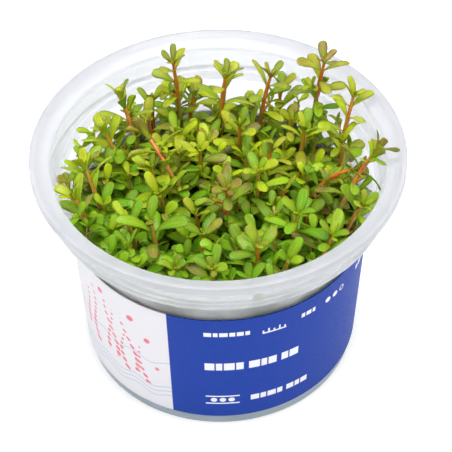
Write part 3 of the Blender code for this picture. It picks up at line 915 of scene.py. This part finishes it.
class Shoot:
    """One shoot: the stem of its solid, and the leaves, leaf pairs and sprigs that grow on it."""

    def __init__(self, number, settings, plans):
        """Takes the first plan whose bud is among the solid's points, sunk as the solid was."""
        self.number, self.settings = number, settings
        self.points = node_points(f"rotala_shoot_{number:02d}")
        self.leaves, self.pair_depths, self.sprigs = [], [], []
        self.draw = random.Random(SEED * 100 + number)
        self.turn, self.stretch = self.draw.uniform(0.0, 360.0), self.draw.uniform(*STRETCH)
        first_ring = INTERNODES[0] * self.stretch - 0.35 * STEM_THICK
        for tip, bend, *kind in plans:
            for sink in SINKS:
                lowered = np.array([0.0, 0.0, sink])
                self.stem = Stem(tip - lowered, bend - lowered)
                _, upward = self.stem.at(first_ring)
                if holds(self.points, self.stem.points[0] + upward * BUD):
                    self.share, self.pairs, self.red = kind
                    return
        raise RuntimeError(f"no plan fits rotala_shoot_{number:02d}")

    def leaf(self, root, upward, outward, length, width, *angles_and_tone):
        """Adds a leaf whose length and width are given as shares of a full-grown one's."""
        self.leaves.append(Leaf(root, upward, outward, self.settings.leaf_length * length,
                                self.settings.leaf_width * width, *angles_and_tone))

    def grow(self, targets):
        """Grows every leaf of the shoot, those that would reach the cup cut short, then the bud."""
        self.grow_solid_leaves()
        more = random.Random(SEED_LOWER + self.number)
        self.grow_lower_leaves(more)
        self.grow_sprigs(more)
        more = random.Random(SEED_BRANCHES + self.number)
        for target in targets:
            self.grow_branch(target, more)
        self.leaves = kept_inside(self.leaves)
        self.grow_bud()

    def grow_solid_leaves(self):
        """The solid's own crossed pairs, on a frame that is carried down the stem."""
        _, upward = self.stem.at(0.0)
        self.side = spun(carried_side(np.array([1.0, 0.0, 0.0]), upward), upward, self.turn)
        distance = 0.0
        for pair in range(self.pairs):
            distance += INTERNODES[pair] * self.stretch
            thick = STEM_THICK * (0.7 + 0.1 * pair)
            _, upward = self.stem.at(distance - 0.5 * thick)
            self.side = carried_side(self.side, upward)
            point, upward = self.stem.at(distance)
            here = carried_side(self.side, upward)
            self.pair_depths.append(distance)
            for half in (0, 1):
                outward = spun(here, upward, 90.0 * ((pair % 2) + 2 * half))
                self.find_leaf(pair, point + outward * (0.5 * thick), thick, upward, outward)
            _, upward = self.stem.at(distance + 0.5 * thick)
            self.side = carried_side(self.side, upward)

    def find_leaf(self, pair, root, thick, upward, outward):
        """Adds the leaf that the solid has here, at the first size and angles that match it."""
        growth = LEAF_GROWTH[pair] * self.share * self.draw.uniform(0.88, 1.1)
        breadth = self.draw.uniform(0.85, 1.12) * (0.5 + 0.5 * growth)
        rise = LEAF_RISE[pair] + sway(self.draw, 12.0)
        swing = sway(self.draw, 14.0)
        for size, more_rise, more_swing in LEAF_TRIES:
            angle, turn = min(rise + more_rise, STEEPEST), swing + more_swing
            outline = leaf_outline(root, upward, outward, LEAF_LENGTH * growth * size,
                                   LEAF_WIDTH * breadth * size, angle, turn)
            if holds(self.points, outline):
                self.leaf(root - outward * 0.25 * thick, upward, spun(outward, upward, turn),
                          growth * size * 1.2, breadth * size, angle, LEAF_ARCH, 0.1 * pair,
                          self.red * (1.0 - 0.2 * pair), 0.0)
                return

    def grow_lower_leaves(self, more):
        """More crossed pairs further down the stem, flatter and older, a few of them withered."""
        pair, distance = self.pairs, self.pair_depths[-1]
        while distance < min(LOWER_REACH, self.stem.lengths[-1] - LOWER_FOOT):
            distance += (3.9 + more.uniform(-0.6, 0.7)) * MM * self.stretch
            point, upward = self.stem.at(distance)
            self.side = carried_side(self.side, upward)
            self.pair_depths.append(distance)
            for half in (0, 1):
                turn = 90.0 * ((pair % 2) + 2 * half) + sway(more, 16)
                outward = spun(self.side, upward, turn)
                growth = more.uniform(0.7, 1.18) * self.share
                wither = WITHERED if more.random() < WITHERED_SHARE else 0.0
                self.leaf(point + outward * 0.3 * STEM_THICK, upward, outward, growth,
                          growth * more.uniform(0.85, 1.05), more.uniform(-8.0, 34.0),
                          more.uniform(10.0, 40.0), min(0.12 * pair + 0.05, 1.0),
                          0.1 * self.red, wither)
            pair += 1

    def grow_sprigs(self, more):
        """Short straight side shoots at some of the upper pairs, each with two crossed pairs."""
        for pair, distance in enumerate(self.pair_depths[2:7], start=2):
            if more.random() > SPRIG_SHARE:
                continue
            point, upward = self.stem.at(distance)
            outward = carried_side(self.side, upward)
            outward = spun(outward, upward, more.uniform(0.0, 360.0))
            heading = lifted(outward, upward, more.uniform(30.0, 62.0))
            reach = more.uniform(2.6, 5.0) * MM
            self.sprigs.append(point + heading * np.linspace(0.0, reach, 5)[:, None])
            across = unit(np.cross(heading, np.array([0.3, 0.2, 1.0])))
            for level, (share_up, size) in enumerate(((0.55, 0.5), (1.0, 0.62))):
                for half in (0, 1):
                    direction = spun(across, heading, 90.0 * level + 180.0 * half)
                    scale = size * more.uniform(0.8, 1.2) * self.share
                    self.leaf(point + heading * reach * share_up, heading, direction, scale,
                              scale * 1.05, more.uniform(28.0, 66.0), LEAF_ARCH,
                              min(0.06 * pair, 0.7), 0.25 * self.red, 0.0)

    def grow_branch(self, target, more):
        """A side branch: a curve from low on the stem to its target, with pairs of leaves."""
        stem = self.stem
        depth = stem.points[0][2] - target[2] + BRANCH_DEPTH
        foot, _ = stem.at(np.clip(depth, 14.0 * MM, stem.lengths[-1]))
        lean = np.array([sway(more, 2.5), sway(more, 2.5), 7.0]) * MM
        rise = foot * 0.5 + target * 0.5 - np.array([0.0, 0.0, 4.0 * MM])
        path = curve(foot, rise, target - lean, target, np.linspace(0.0, 1.0, 14))
        reach = np.hypot(path[:, 0], path[:, 1])
        path[:, :2] *= np.minimum(1.0, (inner_radius(path[:, 2]) - 1.0 * MM) / reach)[:, None]
        self.sprigs.append(path)
        steps = np.linalg.norm(np.diff(path, axis=0), axis=1)
        below = np.concatenate([[0.0], np.cumsum(steps[::-1])])
        downwards = path[::-1]
        headings = unit(np.gradient(path, axis=0))[::-1]
        distance, turn, pair = 1.2 * MM, more.uniform(0.0, 360.0), 0
        while distance < min(below[-1] - 2.0 * MM, BRANCH_LEAFED):
            point = np.array([np.interp(distance, below, line) for line in downwards.T])
            upward = unit(np.array([np.interp(distance, below, line) for line in headings.T]))
            side = carried_side(np.array([1.0, 0.2, 0.1]), upward)
            side = spun(side, upward, turn + 90.0 * (pair % 2))
            level = min(pair, len(BRANCH_RISE) - 1)
            for half in (1.0, -1.0):
                growth = BRANCH_GROWTH[level] * self.share * more.uniform(0.75, 1.2)
                rise = BRANCH_RISE[level] + sway(more, 22.0)
                self.leaf(point, upward, spun(side * half, upward, sway(more, 25.0)), growth,
                          (0.45 + 0.55 * growth) * more.uniform(0.85, 1.1), rise,
                          more.uniform(14.0, 36.0), 0.1 * pair + 0.12,
                          0.3 * self.red * (pair < 2), 0.0)
            distance += (2.4 + 0.5 * min(pair, 3) + sway(more, 0.4)) * MM
            pair += 1

    def grow_bud(self):
        """Two crossed pairs of small young leaves, still nearly shut, at the very tip."""
        draw = random.Random(SEED_BUDS + self.number)
        point, upward = self.stem.at(0.0)
        side = carried_side(np.array([0.6, 0.3, 0.1]), upward)
        side = spun(side, upward, draw.uniform(0.0, 360.0))
        sizes = (0.62, 0.34) if self.number <= len(TALL_SHOOTS) else (0.46, 0.28)
        for level, size in enumerate(sizes):
            for half in (0, 1):
                outward = spun(side, upward, 90.0 * level + 180.0 * half)
                root = point + upward * (level * 0.4 - 1.3) * MM + outward * 0.12 * MM
                self.leaf(root, upward, outward, size * draw.uniform(0.85, 1.2), size * 0.95,
                          58.0 + 14.0 * level, 18.0, 0.0, min(self.red * 1.15, 1.0), 0.0)

    def stem_tubes(self):
        """The main stem, swollen at its leaf pairs and thin at its tip, and the side stems.

        The swelling falls off with the distance from a pair as a bell, exp(-x^2).
        """
        below = np.linspace(0.0, 1.0, 46) ** 1.25 * self.stem.lengths[-1]
        path = np.array([self.stem.at(distance)[0] for distance in below])
        away = np.abs(below[:, None] - np.array(self.pair_depths)[None]).min(axis=1)
        thick = STEM_THICK * (0.55 + 0.43 * np.clip(below / (7.0 * MM), 0.0, 1.0))
        radii = 0.5 * thick * (1.0 + 0.16 * np.exp(-((away / (0.7 * MM)) ** 2)))
        depth = np.clip(below[::-1] / (26.0 * MM), 0.0, 1.0)
        tone = np.stack([depth, np.full_like(depth, self.red), 0 * depth], -1)
        parts = [(*tube(path[::-1], radii[::-1]), tone.repeat(TUBE_SIDES, axis=0))]
        for line in self.sprigs:
            side_tube = tube(line, np.linspace(0.46, 0.28, len(line)) * MM)
            tone = np.tile([0.35, self.red * 0.6, 0.0], (len(side_tube[0]), 1))
            parts.append((*side_tube, tone))
        return parts

    def build(self, materials):
        """The shoot's blades and stems in a single piece, in place of its solid."""
        verts, quads, tris, mark, tone = leaf_blades(self.leaves, SEED_BLADES + self.number)
        stems, caps = [], []
        for part_verts, part_quads, part_caps, part_tone in self.stem_tubes():
            stems.append(part_quads + len(verts))
            caps.append(part_caps + len(verts))
            verts = np.vstack([verts, part_verts])
            tone = np.vstack([tone, part_tone])
        mark = np.vstack([mark, np.full((len(verts) - len(mark), 3), 0.5)])
        stems, caps = np.vstack(stems), np.vstack(caps)
        if self.number == TALLEST:
            verts[:, 2] -= TALLEST_SQUASH * np.clip(verts[:, 2] - CANOPY_HEIGHT, 0.0, None)
        slots = np.repeat([0, 0, 1, 1], [len(quads), len(tris), len(stems), len(caps)])
        name = f"shoot_{self.number:02d}"
        piece = put(name, verts, [quads, tris, stems, caps], materials, slots)
        for attribute, values in (("leaf_mark", mark), ("leaf_tone", tone)):
            layer = piece.data.attributes.new(attribute, "FLOAT_VECTOR", "POINT")
            layer.data.foreach_set("vector", values.astype(np.float32).ravel())
        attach(piece, "root")
        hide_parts(f"rotala_shoot_{self.number:02d}")


def stacked(leaves):
    """All leaves as one, each of its values an array over them."""
    return Leaf(*(np.array(values) for values in zip(*leaves)))


def blade_places(leaves, u):
    """Points on each midrib at the shares u, the blade's normals there and its way across.

    The heading starts above the rise and turns down evenly, so that it passes through the
    directions of the solid's two straight parts at their middles. With heading angle a - b u, the
    midrib is the integral of (cos, sin) along it in closed form.
    """
    b = np.radians(leaves.arch) / (0.5 * sum(LEAF_PARTS))
    a = np.radians(leaves.rise) + 0.5 * LEAF_PARTS[0] * b
    angle = a[:, None] - b[:, None] * u
    out = (np.sin(a)[:, None] - np.sin(angle)) / b[:, None]
    lift = (np.cos(angle) - np.cos(a)[:, None]) / b[:, None]
    outward, upward = leaves.outward[:, None], leaves.upward[:, None]
    spine = leaves.root[:, None] + leaves.length[:, None, None] * (
        outward * out[..., None] + upward * lift[..., None])
    normal = -outward * np.sin(angle)[..., None] + upward * np.cos(angle)[..., None]
    return spine, normal, unit(np.cross(leaves.upward, leaves.outward))


def kept_inside(leaves):
    """Shortens each leaf that would reach the cup's wall, and drops those that still would."""
    kept = []
    for leaf in leaves:
        for size in (1.0, 0.88, 0.76, 0.64, 0.52, 0.4):
            tried = leaf._replace(length=leaf.length * size,
                                  width=leaf.width * (0.4 + 0.6 * size))
            spine = blade_places(stacked([tried]), np.array([0.6, 0.85, 1.0]))[0][0]
            reach = np.hypot(spine[:, 0], spine[:, 1]) + 0.3 * tried.width
            over = spine[:, 2] > CUP_HEIGHT + GAP
            if (over | (reach < inner_radius(spine[:, 2]) - WALL_CLEARANCE)).all():
                kept.append(tried)
                break
    return kept


def leaf_blades(leaves, seed):
    """All leaves of a piece as closed blades on a grid of stations along by points round.

    Half the width at u is w u^0.75 (1 - u^4)^0.5, never under a thin foot: a spoon's outline. A
    point round the blade lies x half-widths across it, raised by the cupping x^2, by a wave and a
    roll x that grows along the blade, and by its side of the thickness. The tip bends sideways
    as u^2. Returns points, quads, triangles, and the marks and tones of the points.
    """
    chance = np.random.default_rng(seed).random((len(leaves), 5))
    leaves = stacked(leaves)
    spine, normal, across = blade_places(leaves, STATIONS)
    shape = np.maximum(1.5 * STATIONS**0.75 * np.sqrt(1.0 - STATIONS**4), 0.17)
    half = 0.5 * SLIM * leaves.width[:, None] * shape
    thick = (0.11 + 0.16 * (1.0 - STATIONS)) * MM * np.minimum(shape * 1.6, 1.0)
    cupping = (-0.10 + 0.42 * chance[:, 0])[:, None] * half
    aside = (chance[:, 1] - 0.5) * 0.3 * leaves.length
    wave = np.sin(STATIONS * 9.0 + 6.3 * chance[:, 2:3]) * 0.05 * half
    roll = (chance[:, 4] - 0.5)[:, None] * 1.1 * half * STATIONS
    side = half[..., None] * CROSSING + (aside[:, None] * STATIONS**2)[..., None]
    lift = (cupping[..., None] * CROSSING**2 + (wave + roll)[..., None] * CROSSING
            + thick[:, None] * UPPER)
    points = (spine[:, :, None] + across[:, None, None] * side[..., None]
              + normal[:, :, None] * lift[..., None])
    tip = blade_places(leaves, np.array([1.0]))[0][:, 0] + across * aside[:, None]
    foot = points[:, 0].mean(axis=1)
    count, stations, ring = points.shape[:3]
    verts = np.concatenate([points.reshape(count, -1, 3), tip[:, None], foot[:, None]], axis=1)
    block = verts.shape[1]

    index, on, quads = rings(stations, ring)
    end = np.stack([np.full(ring, block - 2), on[-1], index[-1]], -1)
    start = np.stack([np.full(ring, block - 1), index[0], on[0]], -1)
    shift = (np.arange(count) * block)[:, None, None]
    quads = (quads[:, [0, 3, 2, 1]] + shift).reshape(-1, 4)
    tris = (np.concatenate([end, start]) + shift).reshape(-1, 3)

    mark = np.empty((count, block, 3))
    mark[..., 0] = np.concatenate([np.repeat(STATIONS, ring), [1.0, 0.0]])
    mark[..., 1] = np.concatenate([np.tile(CROSSING, stations), [0.0, 0.0]])
    mark[..., 2] = chance[:, 3:4]
    # Painted light: the age tone falls towards the back and rises towards the front, so that leaves
    # at the back are painted lighter and yellower and those at the front deeper green
    age = np.clip(leaves.age - 0.34 * points[:, 0, 0, 1] / CANOPY_RADIUS, 0.0, 1.0)
    blush = np.maximum(leaves.blush, np.clip(9.0 * chance[:, 2] - 7.9, 0.0, 0.8))
    tone = np.stack([age, blush, leaves.wither], -1)[:, None].repeat(block, axis=1)
    return verts.reshape(-1, 3), quads, tris, mark.reshape(-1, 3), tone.reshape(-1, 3)


def tube(path, radii):
    """A round profile carried along a path: ring i is path_i plus r_i (side cos a + other sin a).

    The frame is carried along by dropping the part of the side that lies along the path.
    """
    heading = unit(np.gradient(path, axis=0))
    start = np.cross(heading[0], [0.31, 0.82, 0.47])
    side = unit(start - heading * (heading @ start)[:, None])
    other = np.cross(heading, side)
    angle = np.linspace(0.0, 2.0 * np.pi, TUBE_SIDES, endpoint=False)
    ring = (side[:, None] * np.cos(angle)[None, :, None]
            + other[:, None] * np.sin(angle)[None, :, None])
    verts = (path[:, None] + radii[:, None, None] * ring).reshape(-1, 3)
    index, _, quads = rings(len(path), TUBE_SIDES)
    return verts, quads, np.stack([index[0][::-1], index[-1]])


def branch_targets(shoots):
    """Tips of side branches that fill the canopy between the main tips, one list for each shoot.

    Points of a sunflower spiral are kept where they are clear of the main tips and of each other,
    and each goes to the shoot whose stem is nearest.
    """
    draw = random.Random(SEED_SPOTS)
    tips = [shoot.stem.points[0][:2] for shoot in shoots]
    stems = np.array([shoot.stem.at(16.0 * MM)[0][:2] for shoot in shoots])
    targets = [[] for _ in shoots]
    for step in range(BRANCH_SPOTS):
        radius = BRANCH_RADIUS * math.sqrt((step + 0.5) / BRANCH_SPOTS)
        angle = 1.7 + step * GOLDEN_ANGLE
        spot = radius * np.array([math.cos(angle), math.sin(angle)])
        spot += np.array([sway(draw, 0.8), sway(draw, 0.8)]) * MM
        height = CANOPY_HEIGHT - draw.uniform(0.5, 9.0) * MM
        if np.linalg.norm(np.array(tips) - spot, axis=1).min() < BRANCH_SPACING:
            continue
        tips.append(spot)
        owner = int(np.linalg.norm(stems - spot, axis=1).argmin())
        targets[owner].append(np.array([*spot, height]))
    return targets


class ROTALA_OT_cup(bpy.types.Operator):
    """Make the translucent moulded cup in place of its solid."""

    bl_idname = "rotala.cup"
    bl_label = "Make cup"

    def execute(self, context):
        settings = context.scene.rotala_cup
        verts, faces = turned(cup_profile(), settings.steps, closed=False)
        piece = put("culture_cup", verts, faces, [plastic(settings)])
        piece.data.set_sharp_from_angle(angle=math.radians(50.0))
        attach(piece, "root")
        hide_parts("cup")
        return {"FINISHED"}


class ROTALA_OT_band(bpy.types.Operator):
    """Make the printed paper band round the cup's body."""

    bl_idname = "rotala.band"
    bl_label = "Make band"

    def execute(self, context):
        steps = context.scene.rotala_cup.steps
        inner = [(wall_radius(height) + GAP, height) for height in (BAND_LOW, BAND_HIGH)]
        outer = [(radius + BAND_THICK, height) for radius, height in inner]
        profile = np.array([inner[0], outer[0], outer[1], inner[1]])
        verts, faces = turned(profile, steps, closed=True)
        slots = np.repeat([1, 0, 0, 1], steps)
        materials = [printed(context.scene.rotala_band), paper_back()]
        piece = put("band", verts, faces, materials, slots)
        piece.data.set_sharp_from_angle(angle=math.radians(40.0))
        self.map_print(piece.data, steps)
        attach(piece, "root")
        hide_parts("printed_band")
        return {"FINISHED"}

    @staticmethod
    def map_print(mesh, steps):
        """Lays the print's map: millimetres from the front round the band, and above the foot.

        A face's angle comes from the columns of its corners. The last face of a row closes the
        ring, so its corners in column 0 count as one past the last, and the map is cut at the back.
        """
        corners = np.empty(len(mesh.loops), np.int32)
        mesh.loops.foreach_get("vertex_index", corners)
        column = (corners % steps).reshape(-1, 4)
        closing = column.max(axis=1) - column.min(axis=1) > 1
        column = column + steps * (closing[:, None] & (column == 0))
        angle = column / steps * 2.0 * np.pi + 0.5 * np.pi
        past_back = angle.min(axis=1, keepdims=True) >= np.pi - 1e-6
        angle -= 2.0 * np.pi * past_back
        points = np.empty(len(mesh.vertices) * 3, np.float32)
        mesh.vertices.foreach_get("co", points)
        up = points.reshape(-1, 3)[corners, 2] / MM
        places = np.stack([angle.ravel() * MAP_RADIUS, up], -1)
        layer = mesh.uv_layers.new(name="band_mm")
        layer.data.foreach_set("uv", places.astype(np.float32).ravel())


class ROTALA_OT_gel(bpy.types.Operator):
    """Make the gel in the bottom of the cup."""

    bl_idname = "rotala.gel"
    bl_label = "Make gel"

    def execute(self, context):
        bevel = 1.2 * MM
        low_radius, high_radius = (wall_radius(z) - WALL - GAP for z in (GEL_LOW, GEL_HIGH))
        profile = rounded([
            (0.0, GEL_LOW), (low_radius - bevel, GEL_LOW), (low_radius, GEL_LOW + bevel),
            (high_radius, GEL_HIGH), (0.0, GEL_HIGH),
        ], 0.5 * MM)
        verts, faces = turned(profile, context.scene.rotala_cup.steps, closed=False)
        piece = put("gel", verts, faces, [gel_finish()])
        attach(piece, "root")
        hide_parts("growing_gel")
        return {"FINISHED"}


class ROTALA_OT_shoots(bpy.types.Operator):
    """Grow every shoot in place of its solid."""

    bl_idname = "rotala.shoots"
    bl_label = "Grow shoots"

    def execute(self, context):
        settings = context.scene.rotala_shoots
        materials = [leaf_finish(settings), stem_finish(settings)]
        plans = shoot_plans()
        shoots = [Shoot(number, settings, plans) for number in range(1, SHOOT_COUNT + 1)]
        for shoot, targets in zip(shoots, branch_targets(shoots)):
            shoot.grow(targets)
            shoot.build(materials)
        return {"FINISHED"}


class ROTALA_OT_stage(bpy.types.Operator):
    """Set the pale floor, the soft lights and the camera."""

    bl_idname = "rotala.stage"
    bl_label = "Set stage"

    def execute(self, context):
        settings = context.scene.rotala_stage
        self.floor()
        world = bpy.data.worlds.new("studio")
        context.scene.world = world
        world.use_nodes = True
        shine = world.node_tree.nodes["Background"]
        shine.inputs["Color"].default_value = (1.0, 1.0, 1.0, 1.0)
        shine.inputs["Strength"].default_value = settings.sky
        for name, place, size, share in LAMPS:
            self.lamp(name, place, size, share * settings.key)
        self.camera(context)
        context.scene.view_settings.view_transform = "Standard"
        return {"FINISHED"}

    @staticmethod
    def floor():
        """A round pale floor with a faint grain."""
        angle = np.linspace(0.0, 2.0 * np.pi, FLOOR_STEPS, endpoint=False)
        verts = FLOOR_RADIUS * np.stack([np.cos(angle), np.sin(angle), 0 * angle], -1)
        board = Board("pale_floor")
        grain = board.noise(board.place(), 40.0)
        board.fill(
            board.shader, Base_Color=board.mix(board.remap(grain, 0.3, 0.7), *FLOOR_SHADES),
            Roughness=board.remap(grain, 0.3, 0.7, 0.55, 0.65), Specular_IOR_Level=0.2,
            Emission_Color=(1.0, 1.0, 1.0), Emission_Strength=0.3,
        )
        faces = [np.arange(FLOOR_STEPS)[None]]
        floor = put("floor", verts, faces, [board.material], smooth=False)

    @staticmethod
    def lamp(name, place, size, power):
        """A square soft light that looks at the middle of the cup."""
        light = bpy.data.lights.new(name, "AREA")
        light.size = size
        light.energy = power
        lamp = bpy.data.objects.new(name, light)
        aim = np.array([0.0, 0.0, 0.5 * CUP_HEIGHT]) - np.array(place)
        set_pose(lamp, np.array(place), unit(aim), np.array([0.0, 0.0, 1.0]))
        bpy.context.scene.collection.objects.link(lamp)

    @staticmethod
    def camera(context):
        """The photograph's camera, aimed from its distance and elevation and turned a little."""
        lift = math.radians(CAMERA_ELEVATION)
        away = CAMERA_DISTANCE * RIM_RADIUS
        place = np.array([0.0, -away * math.cos(lift), away * math.sin(lift)])
        forward = unit(-place)
        right = np.array([1.0, 0.0, 0.0])
        up = np.cross(right, forward)
        forward, up = spun(forward, right, CAMERA_PITCH), spun(up, right, CAMERA_PITCH)
        forward, right = spun(forward, up, CAMERA_YAW), spun(right, up, CAMERA_YAW)
        up = spun(up, forward, CAMERA_ROLL)
        lens = bpy.data.cameras.new("camera")
        lens.sensor_fit = "HORIZONTAL"
        lens.sensor_width = SENSOR_WIDTH
        lens.lens = SENSOR_WIDTH * FOCAL_PIXELS / IMAGE_SIDE
        lens.clip_start = 10.0 * MM
        camera = bpy.data.objects.new("camera", lens)
        set_pose(camera, place + np.array([0.0, 0.0, CUP_HEIGHT]), forward, up)
        context.scene.collection.objects.link(camera)
        context.scene.camera = camera


def set_pose(thing, place, forward, up):
    """Places a lamp or camera, which look along their own -Z with +Y up."""
    back = -unit(forward)
    right = unit(np.cross(up, back))
    top = np.cross(back, right)
    matrix = np.eye(4)
    matrix[:3, 0], matrix[:3, 1], matrix[:3, 2], matrix[:3, 3] = right, top, back, place
    thing.matrix_world = Matrix(matrix.tolist())


class ROTALA_PT_panel(bpy.types.Panel):
    """Lists the pieces and their settings in the sidebar."""

    bl_idname = "ROTALA_PT_panel"
    bl_label = "Rotala"
    bl_space_type = "VIEW_3D"
    bl_region_type = "UI"
    bl_category = "Rotala"

    def draw(self, context):
        for operator, group in PIECES:
            box = self.layout.box()
            box.operator(operator.bl_idname)
            settings = getattr(context.scene, group, None)
            for name in getattr(settings, "__annotations__", {}):
                box.prop(settings, name)


PIECES = (
    (ROTALA_OT_cup, "rotala_cup"),
    (ROTALA_OT_band, "rotala_band"),
    (ROTALA_OT_gel, ""),
    (ROTALA_OT_shoots, "rotala_shoots"),
    (ROTALA_OT_stage, "rotala_stage"),
)
GROUPS = (
    (CupSettings, "rotala_cup"),
    (BandSettings, "rotala_band"),
    (ShootSettings, "rotala_shoots"),
    (StageSettings, "rotala_stage"),
)


def register():
    """Makes the settings, the operators and the panel known."""
    for group, name in GROUPS:
        bpy.utils.register_class(group)
        setattr(bpy.types.Scene, name, PointerProperty(type=group))
    for operator, _ in PIECES:
        bpy.utils.register_class(operator)
    bpy.utils.register_class(ROTALA_PT_panel)


def unregister():
    """Takes them out again, in the opposite order."""
    bpy.utils.unregister_class(ROTALA_PT_panel)
    for operator, _ in reversed(PIECES):
        bpy.utils.unregister_class(operator)
    for group, name in reversed(GROUPS):
        delattr(bpy.types.Scene, name)
        bpy.utils.unregister_class(group)


def main():
    """Makes every piece and the stage."""
    register()
    for operator, _ in PIECES:
        group, _, name = operator.bl_idname.partition(".")
        getattr(getattr(bpy.ops, group), name)()


if __name__ == "__main__":
    main()
